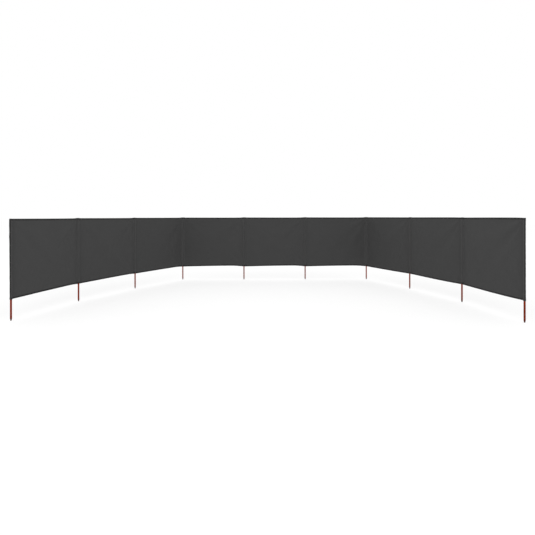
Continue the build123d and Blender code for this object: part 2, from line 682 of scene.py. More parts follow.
@dataclass(frozen=True)
class StainedWood:
    """Round wooden poles in a red-brown stain, with the grain along them and a darker foot."""

    name: str
    dark: Colour
    light: Colour
    # The foot's darker colour.
    worn: Colour
    grain_scale: Point = (150.0, 150.0, 4.0)
    grain_detail: float = 5.0
    grain_roughness: float = 0.62
    grain_distortion: float = 0.6
    grain_edges: Stretch = (0.32, 0.68)
    grain_depth: float = 0.0004
    grain_strength: float = 0.5
    pore_scale: Point = (900.0, 900.0, 14.0)
    pore_edges: Stretch = (0.3, 0.7)
    # Where the pores are dark pits, and how dark.
    pit_edges: Stretch = (0.3, 0.55)
    pit_tone: float = 0.62
    # Growth rings: how they wander, the way across them, their width and the narrow share that is dark.
    ring_scale: Point = (25.0, 25.0, 3.0)
    ring_wander: float = 0.016
    ring_way: Point = (0.8, 0.6, 0.0)
    ring: float = 0.0024
    ring_edges: Stretch = (-1.0, 0.1)
    # The darker foot: where its colour fades out, as shares of its height, and how dark it is.
    foot_shares: Stretch = (0.5, 1.7)
    foot_unevenness: float = 0.05
    foot_darkening: float = 0.85
    # How rough the wood is in its pores and between them.
    roughness: Stretch = (0.66, 0.5)
    gloss: float = 0.07

    def build(self) -> bpy.types.Material:
        """Makes the material, with the grain along the poles' length.

        Returns:
            The material.
        """
        nodes = MaterialNodes(self.name)
        place = nodes.add("TexCoord").outputs["Object"]
        grain = nodes.noise(
            nodes.stretch(place, self.grain_scale), Scale=1.0, Detail=self.grain_detail,
            Roughness=self.grain_roughness, Distortion=self.grain_distortion,
        )
        pores = nodes.noise(nodes.stretch(place, self.pore_scale), Scale=1.0, Detail=2.0)
        streaks = nodes.remap(grain, *self.grain_edges, 0.0, 1.0)
        figure = nodes.math("MULTIPLY", nodes.math("ADD", streaks, self.rings(nodes, place)), 0.5)
        colour = nodes.mix(figure, (*self.dark, 1.0), (*self.light, 1.0))
        stain = nodes.add("Attribute", attribute_name=WOOD_STAIN).outputs["Fac"]
        pits = nodes.remap(pores, *self.pit_edges, self.pit_tone, 1.0)
        colour = nodes.shade(colour, nodes.math("MULTIPLY", stain, pits))
        colour = nodes.mix(self.foot(nodes, place, grain), colour, (*self.worn, 1.0))
        rough = nodes.remap(pores, *self.pore_edges, *self.roughness)
        height = nodes.math("ADD", figure, pores)
        relief = {"Height": height, "Distance": self.grain_depth, "Strength": self.grain_strength}
        bump = nodes.add("Bump", relief)
        shader = nodes.add(
            "BsdfPrincipled", {"Base Color": colour, "Roughness": rough, "Normal": bump.outputs[0]}
        )
        shader.inputs["Specular IOR Level"].default_value = self.gloss
        return nodes.close(shader)

    def rings(self, nodes: MaterialNodes, place: bpy.types.NodeSocket) -> bpy.types.NodeSocket:
        """Works out the growth rings that the round pole cuts, as narrow dark lines that wander.

        Args:
            nodes: The material's nodes.
            place: The place on the pole.

        Returns:
            The tone of the rings, from 0 to 1.
        """
        wander = nodes.noise(nodes.stretch(place, self.ring_scale), Scale=1.0, Detail=2.0)
        across = nodes.add("VectorMath", {0: place, 1: self.ring_way}, operation="DOT_PRODUCT")
        bent = nodes.math("MULTIPLY_ADD", wander, self.ring_wander, across.outputs["Value"])
        wave = nodes.math("SINE", nodes.math("MULTIPLY", bent, 2 * math.pi / self.ring))
        return nodes.remap(wave, *self.ring_edges, 0.0, 1.0)

    def foot(
        self, nodes: MaterialNodes, place: bpy.types.NodeSocket, grain: bpy.types.NodeSocket
    ) -> bpy.types.NodeSocket:
        """Works out where the foot is darker, with an edge that follows the grain.

        Args:
            nodes: The material's nodes.
            place: The place on the pole.
            grain: The wood's grain, from 0 to 1.

        Returns:
            How far the foot's darker colour shows, from 0 to 1.
        """
        height = nodes.add("SeparateXYZ", {0: place}).outputs[2]
        uneven = nodes.math("MULTIPLY", nodes.math("SUBTRACT", grain, 0.5), self.foot_unevenness)
        edge = nodes.math("ADD", height, uneven)
        low, high = [FOOT_HEIGHT * share for share in self.foot_shares]
        return nodes.remap(edge, low, high, self.foot_darkening, 0.0)


@dataclass(frozen=True)
class Stitch:
    """Sizes of a kind of stitch, in metres, and its turn from the seam in radians."""

    pitch: float
    length: float
    width: float
    tilt: float


LOCK_STITCH = Stitch(pitch=0.0048, length=0.0040, width=0.0009, tilt=math.radians(7))
TACK_STITCH = Stitch(pitch=0.0011, length=0.0042, width=0.0009, tilt=math.radians(80))


@dataclass(frozen=True)
class Seam:
    """A line of stitches on one face of the cloth."""

    points: np.ndarray
    normals: np.ndarray


class LineTree:
    """A Geometry Nodes tree that makes a piece along lines of points."""

    NAME: str
    SIZES: tuple[str, ...]

    def __init__(self, material: bpy.types.Material) -> None:
        """Builds the tree, with an input for each size.

        Args:
            material: The material of what it makes.
        """
        self.material = material
        self.tree = bpy.data.node_groups.new(self.NAME, "GeometryNodeTree")
        face = self.tree.interface
        face.new_socket("Lines", in_out="INPUT", socket_type="NodeSocketGeometry")
        kinds = {**dict.fromkeys(self.SIZES, "NodeSocketFloat"), "Material": "NodeSocketMaterial"}
        self.inputs = {
            name: face.new_socket(name, in_out="INPUT", socket_type=kind).identifier
            for name, kind in kinds.items()
        }
        face.new_socket("Piece", in_out="OUTPUT", socket_type="NodeSocketGeometry")
        nodes = Nodes(self.tree, "GeometryNode")
        given = dict(nodes.add("NodeGroupInput").outputs.items())
        curve = nodes.add("MeshToCurve", {"Mesh": given["Lines"]}).outputs[0]
        solid = nodes.add("RealizeInstances", {"Geometry": self.wire(nodes, curve, given)}).outputs[0]
        dressed = nodes.add("SetMaterial", {"Geometry": solid, "Material": given["Material"]}).outputs[0]
        nodes.add("NodeGroupOutput", {"Piece": dressed})

    def wire(self, nodes: Nodes, curve: bpy.types.NodeSocket, given: Sockets) -> bpy.types.NodeSocket:
        """Joins the nodes that make the piece.

        Args:
            nodes: The tree's nodes.
            curve: The lines, as curves.
            given: The tree's inputs.

        Returns:
            The piece.
        """
        raise NotImplementedError

    def make(
        self, name: str, lines: list[np.ndarray], sizes: dict[str, float], **facing: np.ndarray
    ) -> bpy.types.Object:
        """Runs the tree along lines.

        Args:
            name: The piece's name.
            lines: The points of each line.
            sizes: A value for each of the tree's sizes.
            **facing: Directions of the points, by the name of their attribute.

        Returns:
            The piece, as a plain mesh.
        """
        starts = np.cumsum([0] + [len(line) for line in lines])
        edges = [(k, k + 1) for first, end in zip(starts, starts[1:]) for k in range(first, end - 1)]
        path = bpy.data.meshes.new(name + "_lines")
        path.from_pydata(np.concatenate(lines).tolist(), edges, [])
        for key, directions in facing.items():
            stored = path.attributes.new(key, "FLOAT_VECTOR", "POINT")
            stored.data.foreach_set("vector", directions.astype(np.float32).ravel())
        guide = add_object(path.name, path)
        modifier = guide.modifiers.new(self.NAME, "NODES")
        modifier.node_group = self.tree
        for key, value in sizes.items():
            modifier[self.inputs[key]] = value
        modifier[self.inputs["Material"]] = self.material
        ready = guide.evaluated_get(bpy.context.evaluated_depsgraph_get())
        mesh = bpy.data.meshes.new_from_object(ready)
        mesh.name = name
        bpy.data.meshes.remove(path)
        mesh.polygons.foreach_set("use_smooth", np.ones(len(mesh.polygons), bool))
        return add_object(name, mesh)


class StitchTree(LineTree):
    """A Geometry Nodes tree that sews stitches along lines of points."""

    NAME = "stitches"
    SIZES = ("Pitch", "Length", "Width", "Tilt")
    # A stitch is a ball of few sides and of diameter 1, which its sizes stretch.
    SIDES = 4
    RINGS = 2
    UNIT_RADIUS = 0.5
    # By how much the tilt of single stitches varies.
    LEAST_TILT = 0.6
    MOST_TILT = 1.4

    def wire(self, nodes: Nodes, curve: bpy.types.NodeSocket, given: Sockets) -> bpy.types.NodeSocket:
        """Joins the nodes: points along the lines, and a spindle of thread on each.

        Args:
            nodes: The tree's nodes.
            curve: The seams, as curves.
            given: The tree's inputs.

        Returns:
            The stitches.
        """
        links = {"Curve": curve, "Length": given["Pitch"]}
        points = nodes.add("ResampleCurve", links, mode="LENGTH").outputs[0]
        unit = {"Segments": self.SIDES, "Rings": self.RINGS, "Radius": self.UNIT_RADIUS}
        ball = nodes.add("MeshUVSphere", unit).outputs[0]
        spindle = nodes.add("Transform", {"Geometry": ball, "Rotation": (0.0, math.pi / 2, 0.0)}).outputs[0]
        size = nodes.add(
            "ShaderNodeCombineXYZ", {0: given["Length"], 1: given["Width"], 2: given["Width"]}
        ).outputs[0]
        laid = self.lie(nodes, given["Tilt"])
        links = {"Points": points, "Instance": spindle, "Rotation": laid, "Scale": size}
        return nodes.add("InstanceOnPoints", links).outputs[0]

    def lie(self, nodes: Nodes, tilt: bpy.types.NodeSocket) -> bpy.types.NodeSocket:
        """Turns each stitch along its seam, flat on the cloth, with an uneven tilt.

        Args:
            nodes: The tree's nodes.
            tilt: The mean turn from the seam.

        Returns:
            The rotation of each stitch.
        """
        tangent = nodes.add("InputTangent").outputs[0]
        links = {"Name": CLOTH_NORMAL}
        normal = nodes.add("InputNamedAttribute", links, data_type="FLOAT_VECTOR").outputs[0]
        along = nodes.add("FunctionNodeAlignRotationToVector", {"Vector": tangent}, axis="X").outputs[0]
        facing = nodes.add(
            "FunctionNodeAlignRotationToVector",
            {"Rotation": along, "Vector": normal}, axis="Z", pivot_axis="X",
        ).outputs[0]
        links = {2: self.LEAST_TILT, 3: self.MOST_TILT, "Seed": SEED}
        wander = nodes.add("FunctionNodeRandomValue", links, data_type="FLOAT").outputs[1]
        turn = nodes.add(
            "FunctionNodeAxisAngleToRotation",
            {"Axis": (0.0, 0.0, 1.0), "Angle": nodes.math("MULTIPLY", wander, tilt)},
        ).outputs[0]
        return nodes.add(
            "FunctionNodeRotateRotation", {"Rotation": facing, "Rotate By": turn}, rotation_space="LOCAL"
        ).outputs[0]

    def sew(self, name: str, seams: list[Seam], stitch: Stitch) -> bpy.types.Object:
        """Sews stitches along seams and returns them as one mesh.

        Args:
            name: The piece's name.
            seams: The seams.
            stitch: The kind of stitch.

        Returns:
            The stitches.
        """
        sizes = dict(zip(self.SIZES, (stitch.pitch, stitch.length, stitch.width, stitch.tilt)))
        normals = np.concatenate([seam.normals for seam in seams])
        return self.make(name, [seam.points for seam in seams], sizes, **{CLOTH_NORMAL: normals})


class PoleTree(LineTree):
    """A Geometry Nodes tree that turns round poles with a blunt point, a little worn."""

    NAME = "turned_poles"
    SIZES = ("Length", "Radius", "Foot Height", "Foot Radius", "Foot Edge", "Crown", "Wear", "Seed", "Stain")
    SIDES = 28
    # How many worn places a metre of wood has.
    WEAR_SCALE = 14.0

    def wire(self, nodes: Nodes, curve: bpy.types.NodeSocket, given: Sockets) -> bpy.types.NodeSocket:
        """Joins the nodes: a circle swept up the axis, worn here and there, with the pole's own stain.

        Args:
            nodes: The tree's nodes.
            curve: The pole's axis, as a curve with a point at each ring.
            given: The tree's inputs.

        Returns:
            The pole.
        """
        ring = nodes.add("CurvePrimitiveCircle", {"Resolution": self.SIDES, "Radius": 1.0}).outputs[0]
        links = {"Curve": curve, "Profile Curve": ring, "Scale": self.reach(nodes, given), "Fill Caps": True}
        turned = nodes.add("CurveToMesh", links).outputs[0]
        worn = nodes.add("SetPosition", {"Geometry": turned, "Offset": self.wear(nodes, given)}).outputs[0]
        stained = {"Geometry": worn, "Name": WOOD_STAIN, "Value": given["Stain"]}
        return nodes.add("StoreNamedAttribute", stained, data_type="FLOAT", domain="POINT").outputs[0]

    def reach(self, nodes: Nodes, given: Sockets) -> bpy.types.NodeSocket:
        """Works out the radius at each height: the foot's edge, its point, the shaft and the crown.

        Args:
            nodes: The tree's nodes.
            given: The tree's inputs.

        Returns:
            The radius.
        """
        height = nodes.add("ShaderNodeSeparateXYZ", {0: nodes.add("InputPosition").outputs[0]}).outputs[2]
        edge = nodes.math("ADD", height, nodes.math("SUBTRACT", given["Foot Radius"], given["Foot Edge"]))
        point = nodes.remap(height, 0.0, given["Foot Height"], given["Foot Radius"], given["Radius"])
        shoulder = nodes.math("SUBTRACT", given["Length"], given["Crown"])
        share = nodes.remap(height, shoulder, given["Length"], 0.0, 1.0)
        arc = nodes.math("SQRT", nodes.math("SUBTRACT", 1.0, nodes.math("MULTIPLY", share, share)))
        crown = nodes.math("MULTIPLY_ADD", nodes.math("SUBTRACT", arc, 1.0), given["Crown"], given["Radius"])
        return nodes.math("MINIMUM", nodes.math("MINIMUM", edge, point), crown)

    def wear(self, nodes: Nodes, given: Sockets) -> bpy.types.NodeSocket:
        """Works out how far each point is worn inwards, on the level.

        Args:
            nodes: The tree's nodes.
            given: The tree's inputs.

        Returns:
            The offset of each point.
        """
        links = {"W": given["Seed"], "Scale": self.WEAR_SCALE}
        noise = nodes.add("ShaderNodeTexNoise", links, noise_dimensions="4D").outputs["Fac"]
        swing = nodes.math("ABSOLUTE", nodes.math("MULTIPLY_ADD", noise, 2.0, -1.0))
        inward = nodes.math("MULTIPLY", swing, nodes.math("MULTIPLY", given["Wear"], -1.0))
        normal = nodes.add("InputNormal").outputs[0]
        flat = {0: normal, 1: (1.0, 1.0, 0.0)}
        level = nodes.add("ShaderNodeVectorMath", flat, operation="MULTIPLY").outputs[0]
        return nodes.add("ShaderNodeVectorMath", {0: level, "Scale": inward}, operation="SCALE").outputs[0]


class Finishes:
    """The windbreak's materials, and the trees that sew its thread and turn its wood."""

    def __init__(self) -> None:
        """Makes the materials and the trees."""
        self.cloth = WovenCloth("anthracite_cloth", rgb(63, 63, 63)).build()
        # Painted light: the pockets' strip is the bays' cloth made lighter, to offset the shade on the
        # pockets' rounded sides and in the creases beside them.
        self.strip = WovenCloth("anthracite_strip", rgb(66, 66, 66)).build()
        self.thread = SewingThread("sewing_thread", rgb(78, 78, 80)).build()
        self.wood = StainedWood(
            "stained_wood", dark=rgb(78, 19, 5), light=rgb(148, 49, 13), worn=rgb(54, 18, 9)
        ).build()
        self.stitches = StitchTree(self.thread)
        self.turning = PoleTree(self.wood)


def dress(piece: bpy.types.Object, material: bpy.types.Material) -> None:
    """Gives a piece its finish and lets it ride on the one body.

    Args:
        piece: The piece.
        material: Its material.
    """
    piece.data.materials.clear()
    piece.data.materials.append(material)
    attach(piece, BODY)
    piece.data.calc_loop_triangles()
    LOG.info("%s: %d triangles", piece.name, len(piece.data.loop_triangles))


@dataclass(eq=False)
class WoodPole:
    """A round wooden pole with a blunt point, a little uneven along its length. Sizes are in metres."""

    number: int
    plan: Plan
    stain: float
    foot_height: float = FOOT_HEIGHT
    foot_radius: float = 0.006
    foot_edge: float = 0.0008
    crown: float = 0.004
    wear: float = 0.0003
    sharp_degrees: float = 50.0
    # How many rings the foot, the shaft and the crown have.
    rings: tuple[int, int, int] = (7, 62, 5)

    @property
    def name(self) -> str:
        """The piece's name."""
        return f"wood_of_pole_{self.number}"

    def axis(self) -> np.ndarray:
        """Draws the pole's axis.

        Returns:
            A point for each ring, from the flat foot to the rounded crown.
        """
        length = self.plan.pole_length
        foot, shaft, crown = self.rings
        turn = np.linspace(0, math.pi / 2, crown)
        heights = np.concatenate(
            [[0.0], np.linspace(self.foot_edge, self.foot_height, foot),
             np.linspace(self.foot_height, length - self.crown, shaft)[1:-1],
             length - self.crown * (1 - np.sin(turn))]
        )
        return np.column_stack([np.tile(self.plan.poles[self.number - 1], (len(heights), 1)), heights])

    def build(self, turning: PoleTree) -> bpy.types.Object:
        """Turns the pole.

        Args:
            turning: The tree that turns poles.

        Returns:
            The pole.
        """
        sizes = {
            "Length": self.plan.pole_length,
            "Radius": self.plan.pole_radius,
            "Foot Height": self.foot_height,
            "Foot Radius": self.foot_radius,
            "Foot Edge": self.foot_edge,
            "Crown": self.crown,
            "Wear": self.wear,
            "Seed": float(POLE_SEED + self.number),
            "Stain": self.stain,
        }
        wood = turning.make(self.name, [self.axis()], sizes)
        smooth(wood.data, self.sharp_degrees)
        return wood

    def add(self, finishes: Finishes) -> None:
        """Builds and dresses the pole.

        Args:
            finishes: The materials and trees.
        """
        wood = self.build(finishes.turning)
        dress(wood, finishes.wood)
        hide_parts(f"pole_{self.number}")


@dataclass(frozen=True)
class EdgeHang:
    """How one bay's edges hang, in metres, and where along the bay the bottom edge is highest."""

    top_sag: float
    bottom_rise: float
    bottom_peak: float


@dataclass(frozen=True)
class CornerFold:
    """One fold of those that spread from a held corner: its angle, its width and its height."""

    angle: float
    width: float
    height: float


@dataclass(eq=False)
class ClothBay:
    """The cloth from the middle of one pole to the middle of the next, with its folded hems.

    Sizes are in metres.
    """

    number: int
    plan: Plan
    run: ClothRun
    cloth: ClothSizes
    hang: EdgeHang
    # The swell of the whole bay, and the shares of it that a bay can have.
    belly: float = 0.010
    belly_shares: Stretch = (0.7, 1.2)
    # Slack and creases all over, which begin this far from the seams.
    loose: float = 0.0026
    loose_waves: WaveBand = WaveBand(0.28, 0.9, 7)
    crumple: float = 0.0006
    crumple_waves: WaveBand = WaveBand(0.05, 0.16, 9)
    held_reach: float = 0.12
    # Gathers along the seams and the hems, where each begins and how far it reaches.
    pucker: float = 0.0011
    gather_waves: WaveBand = WaveBand(0.028, 0.07, 5)
    gather_reach: float = 0.045
    gather_start: float = 0.012
    frill_share: float = 0.8
    frill_waves: WaveBand = WaveBand(0.05, 0.16, 5)
    frill_reach: float = 0.03
    frill_start: float = 0.03
    # How far apart the gathers of the two seams, and of the two hems, are read from the same waves.
    seams_apart: float = 3.0
    hems_apart: float = 5.0
    # Where the step in front of a hem's fold ends, beside the pockets.
    step_start: float = 0.045
    step_end: float = 0.10
    # Where along the bay the top edge is lowest.
    top_lowest_share: float = 0.84
    # Folds that spread from the held corners, and how much their strength and angle vary.
    fan: float = 0.0056
    fan_reach: float = 0.36
    fan_shares: Stretch = (0.8, 1.2)
    fan_lean: float = 0.12
    # Strength of the folds at the four corners: right top, left top, right bottom, left bottom.
    corner_shares: tuple[float, float, float, float] = (1.0, 0.5, 0.45, 0.3)
    folds: tuple[CornerFold, ...] = (
        CornerFold(0.62, 0.15, 1.0),
        CornerFold(1.08, 0.13, 0.6),
        CornerFold(0.86, 0.14, -1.0),
        CornerFold(0.32, 0.13, -0.5),
    )
    # Rows in a hem's leaf, behind it, beside it up to an end, and from there to half the height.
    leaf_rows: int = 5
    hem_rows: int = 6
    beside_rows: int = 7
    beside_end: float = 0.08
    inner_rows: int = 27
    # Columns round a bent pole, at even steps beside it, wider apart up to an end, and between the ends.
    wrap_columns: int = 4
    least_wrap: float = 1e-6
    seam_step: float = 0.006
    seam_columns_end: float = 0.048
    near_start: float = 0.05
    near_end: float = 0.2
    near_columns: int = 15
    middle_columns: int = 62
    flat: tuple[float, float] = field(init=False)

    def __post_init__(self) -> None:
        """Draws what differs from bay to bay."""
        self.bay = self.number - 1
        self.pitch = float(self.run.pitches[self.bay])
        rng = np.random.default_rng(SEED + self.number)
        self.waves = Ripples.draw(rng, self.loose_waves)
        self.creases = Ripples.draw(rng, self.crumple_waves)
        self.seam_pull = Ripples.draw(rng, self.gather_waves)
        self.hem_pull = Ripples.draw(rng, self.frill_waves)
        self.swell = self.belly * rng.uniform(*self.belly_shares)
        self.fans = [
            (share * rng.uniform(*self.fan_shares), rng.uniform(-self.fan_lean, self.fan_lean))
            for share in self.corner_shares
        ]

    def rows(self) -> tuple[np.ndarray, np.ndarray, np.ndarray]:
        """Lists the cloth's rows, from the raw edge of the top hem round both folds to the bottom hem's.

        Returns:
            Each row's height, depth and place along the cut.
        """
        bottom, top = self.plan.cloth_bottom, self.plan.cloth_top
        cloth, radius = self.cloth, self.cloth.fold_gap / 2
        leaf = np.linspace(cloth.hem, radius, self.leaf_rows)
        turn = cloth.fold_angles()
        hem = np.linspace(radius, cloth.hem - cloth.tone_edge, self.hem_rows)
        beside = np.geomspace(cloth.hem + cloth.tone_edge, self.beside_end, self.beside_rows)
        inner = np.linspace(self.beside_end, (top - bottom) / 2, self.inner_rows)[1:]
        lower = np.concatenate([hem, beside, inner])
        main = np.concatenate([top - lower, bottom + lower[-2::-1]])
        height = np.concatenate(
            [top - leaf, top - radius + radius * np.sin(turn), main,
             bottom + radius - radius * np.sin(turn), bottom + leaf[::-1]]
        )
        folded = np.full(len(leaf), 2 * radius)
        depth = np.concatenate(
            [folded, radius + radius * np.cos(turn), np.zeros(len(main)),
             radius - radius * np.cos(turn), folded]
        )
        cut = np.concatenate([[0.0], np.cumsum(np.hypot(np.diff(height), np.diff(depth)))])
        return height, depth, cut

    def columns(self) -> np.ndarray:
        """Lists the cloth's columns, closer together near the poles.

        Returns:
            Places along the bay.
        """
        first = self.columns_near(self.bay)
        last = self.columns_near(self.bay + 1)
        middle = np.linspace(self.near_end, self.pitch - self.near_end, self.middle_columns)[1:-1]
        return np.concatenate([first, middle, self.pitch - last[::-1]])

    def columns_near(self, pole: int) -> np.ndarray:
        """Lists distances from a pole at which the cloth has columns.

        Args:
            pole: The pole, counted from 0.

        Returns:
            The distances, which begin in the middle of the wrap round the pole, or at the seam of an end
            pocket.
        """
        even = np.arange(self.seam_step, self.seam_columns_end, self.seam_step)
        near = np.concatenate([even, np.geomspace(self.near_start, self.near_end, self.near_columns)])
        if self.run.ends_at(pole):
            return near[near >= self.cloth.seam_lip]
        wrap = self.run.half_wraps[pole]
        bent = wrap > self.least_wrap
        bend = np.linspace(-wrap, 0, self.wrap_columns, endpoint=False) if bent else []
        return np.concatenate([bend, [0.0], near])

    def fan_out(self, across: np.ndarray, down: np.ndarray, strength: float, lean: float) -> np.ndarray:
        """Works out the folds that spread from a held corner into the bay.

        Args:
            across: The level distance from the corner.
            down: The upright distance from the corner.
            strength: How strong these folds are.
            lean: A turn of the folds, in radians.

        Returns:
            How far the folds stand out.
        """
        across, down = np.maximum(across, 0), np.maximum(down, 0)
        reach = np.hypot(across, down) / self.fan_reach
        angle = np.arctan2(down, np.maximum(across, TINY)) + lean
        ridges = sum(fold.height * bell(angle - fold.angle, fold.width) for fold in self.folds)
        return self.fan * strength * reach * np.exp(1 - reach) * ridges

    def depth(self, along: np.ndarray, height: np.ndarray) -> np.ndarray:
        """Works out how far the cloth stands to the sheltered side of a straight sheet.

        Args:
            along: Places along the bay.
            height: Heights above the ground.

        Returns:
            The depths.
        """
        cloth, seam = self.cloth, self.cloth.seam_end
        left, right = along, self.pitch - along
        nearest = np.minimum(left, right)
        below, above = self.plan.cloth_top - height, height - self.plan.cloth_bottom
        edge = np.minimum(below, above)
        held = ease(nearest, seam, seam + self.held_reach)
        upright = 0.5 + 0.5 * np.sin(math.pi * self.plan.share_up(height))
        middle = np.sin(math.pi * np.clip(along / self.pitch, 0, 1)) * upright
        corners = ((right, below), (left, below), (right, above), (left, above))
        folds = sum(self.fan_out(*corner, *fan) for corner, fan in zip(corners, self.fans))
        loose = self.loose * self.waves(along, height) + self.crumple * self.creases(along, height)
        gather = np.exp(-np.maximum(nearest - seam, 0) / self.gather_reach)
        gather = gather * ease(nearest, seam, seam + self.gather_start)
        pull = gather * self.seam_pull(0.0 * along, height + self.seams_apart * (left < right))
        frill = np.exp(-np.maximum(edge, 0) / self.frill_reach)
        frill = frill * ease(nearest, seam, seam + self.frill_start)
        wave = frill * self.hem_pull(along + self.hems_apart * (below < above), 0.0 * height)
        pressed = 1 - ease(edge, cloth.hem, cloth.hem + cloth.hem_fade)
        step = -cloth.fold_gap * pressed * (1 - ease(nearest, self.step_start, self.step_end))
        gathers = self.pucker * (pull + self.frill_share * wave)
        return held * (self.swell * middle + folds + loose) + gathers + step

    def lift(self, along: np.ndarray, height: np.ndarray) -> np.ndarray:
        """Works out the sag of the top edge, the rise of the bottom edge and the bump over each pole.

        Args:
            along: Places along the bay.
            height: Heights above the ground.

        Returns:
            How far each point is moved up.
        """
        cloth, up = self.cloth, self.plan.share_up(height)
        share = np.clip(along / self.pitch, 0, 1)
        lifted = -self.hang.top_sag * skewed_arch(share, self.top_lowest_share) * up
        lifted = lifted + self.hang.bottom_rise * skewed_arch(share, self.hang.bottom_peak) * (1 - up)
        for pole, beside in ((self.bay, along), (self.bay + 1, self.pitch - along)):
            crown = cloth.crown(self.run.ends_at(pole)) * bell(beside, cloth.crown_spread)
            lifted = lifted + crown * ease(up, cloth.crown_share, 1.0)
        return lifted

    def points(
        self, along: np.ndarray, height: np.ndarray, depth: np.ndarray
    ) -> tuple[np.ndarray, np.ndarray]:
        """Finds points of the draped cloth.

        Args:
            along: Places along the bay.
            height: Heights above the ground, before the edges sag or rise.
            depth: How far each point lies to the sheltered side of the cloth's middle.

        Returns:
            The points and the directions to the sheltered side.
        """
        along, height, depth = np.broadcast_arrays(along, height, depth)
        plan, inward = self.run.place(self.bay, along, self.depth(along, height) + depth)
        points = np.concatenate([plan, (height + self.lift(along, height))[..., None]], axis=-1)
        return points, np.concatenate([inward, np.zeros((*along.shape, 1))], axis=-1)

    def build(self) -> bpy.types.Object:
        """Makes the bay's cloth.

        Returns:
            The sheet.
        """
        height, depth, cut = self.rows()
        along = self.columns()
        grid, _ = self.points(along[None, :], height[:, None], depth[:, None])
        start = self.run.starts[self.bay]
        run = np.stack(np.broadcast_arrays(start + along[None, :], cut[:, None]), axis=-1)
        edge = np.minimum(self.plan.cloth_top - height, height - self.plan.cloth_bottom)
        # The layer count sets the painted shade of the hems.
        layers = self.cloth.stacked(self.cloth.in_hem(edge))[:, None]
        self.flat = (float(along[-1] - along[0]), float(cut[-1]))
        return shell(f"cloth_of_bay_{self.number}", grid, self.cloth.thickness, run, layers)

    def seams(self) -> list[Seam]:
        """Lists the hems' lines of stitches.

        Returns:
            A line along each hem on both faces.
        """
        cloth = self.cloth
        inset = cloth.hem - cloth.stitch_margin
        lines = []
        for height in (self.plan.cloth_top - inset, self.plan.cloth_bottom + inset):
            for face in Face:
                gap = 0.0 if face is Face.WINDY else cloth.seam_end + cloth.stitch_margin
                along = np.arange(gap, self.pitch - gap, cloth.stitch_step)
                middle = cloth.fold_gap if face is Face.SHELTERED else 0.0
                depth = middle + face.value * cloth.thickness / 2
                points, inward = self.points(along, np.array(height), np.array(depth))
                lines.append(Seam(points, inward * face.value))
        return lines

    def add(self, finishes: Finishes) -> None:
        """Builds the bay with its hem stitches and dresses it.

        Args:
            finishes: The materials and trees.
        """
        sheet = self.build()
        sewn = finishes.stitches.sew(f"hem_stitches_{self.number}", self.seams(), LOCK_STITCH)
        dress(sheet, finishes.cloth)
        dress(sewn, finishes.thread)
        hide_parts(f"cloth_bay_{self.number}")


class Lines:
    """Lines of points in a pocket's strip: arrays that hold a value for each line."""

    @classmethod
    def join(cls, *parts: "Lines") -> "Lines":
        """Sets runs of lines one after the other."""
        names = cls.__annotations__
        return cls(*(np.concatenate([getattr(part, name) for part in parts]) for name in names))


@dataclass(frozen=True)
class Columns(Lines):
    """Columns of a pocket's strip, side by side along its section."""

    points: np.ndarray
    loose: np.ndarray
    bay: np.ndarray
    reach: np.ndarray
    face: np.ndarray

    def turned(self) -> "Columns":
        """The same columns in the opposite order."""
        return Columns(*(getattr(self, name)[::-1] for name in self.__annotations__))

    def across(self) -> np.ndarray:
        """Measures the section.

        Returns:
            Each column's place along it.
        """
        steps = np.linalg.norm(np.diff(self.points, axis=0), axis=1)
        return np.concatenate([[0.0], np.cumsum(steps)])

    def outward(self) -> np.ndarray:
        """Finds the level direction away from the pole.

        Returns:
            A direction for each column.
        """
        ahead = np.gradient(self.points, axis=0)
        normals = np.stack([ahead[:, 1], -ahead[:, 0]], axis=-1)
        return normals / np.linalg.norm(normals, axis=1, keepdims=True)


@dataclass(frozen=True)
class StripRows(Lines):
    """Rows of a pocket's strip, from the turned edge inside its mouth up to its top."""

    height: np.ndarray
    turned: np.ndarray
    full: np.ndarray
    depth: np.ndarray

    def cut(self) -> np.ndarray:
        """Measures the strip as it is cut.

        Returns:
            Each row's place along the cut.
        """
        across = self.turned + self.depth
        return np.concatenate([[0.0], np.cumsum(np.hypot(np.diff(self.height), np.diff(across)))])


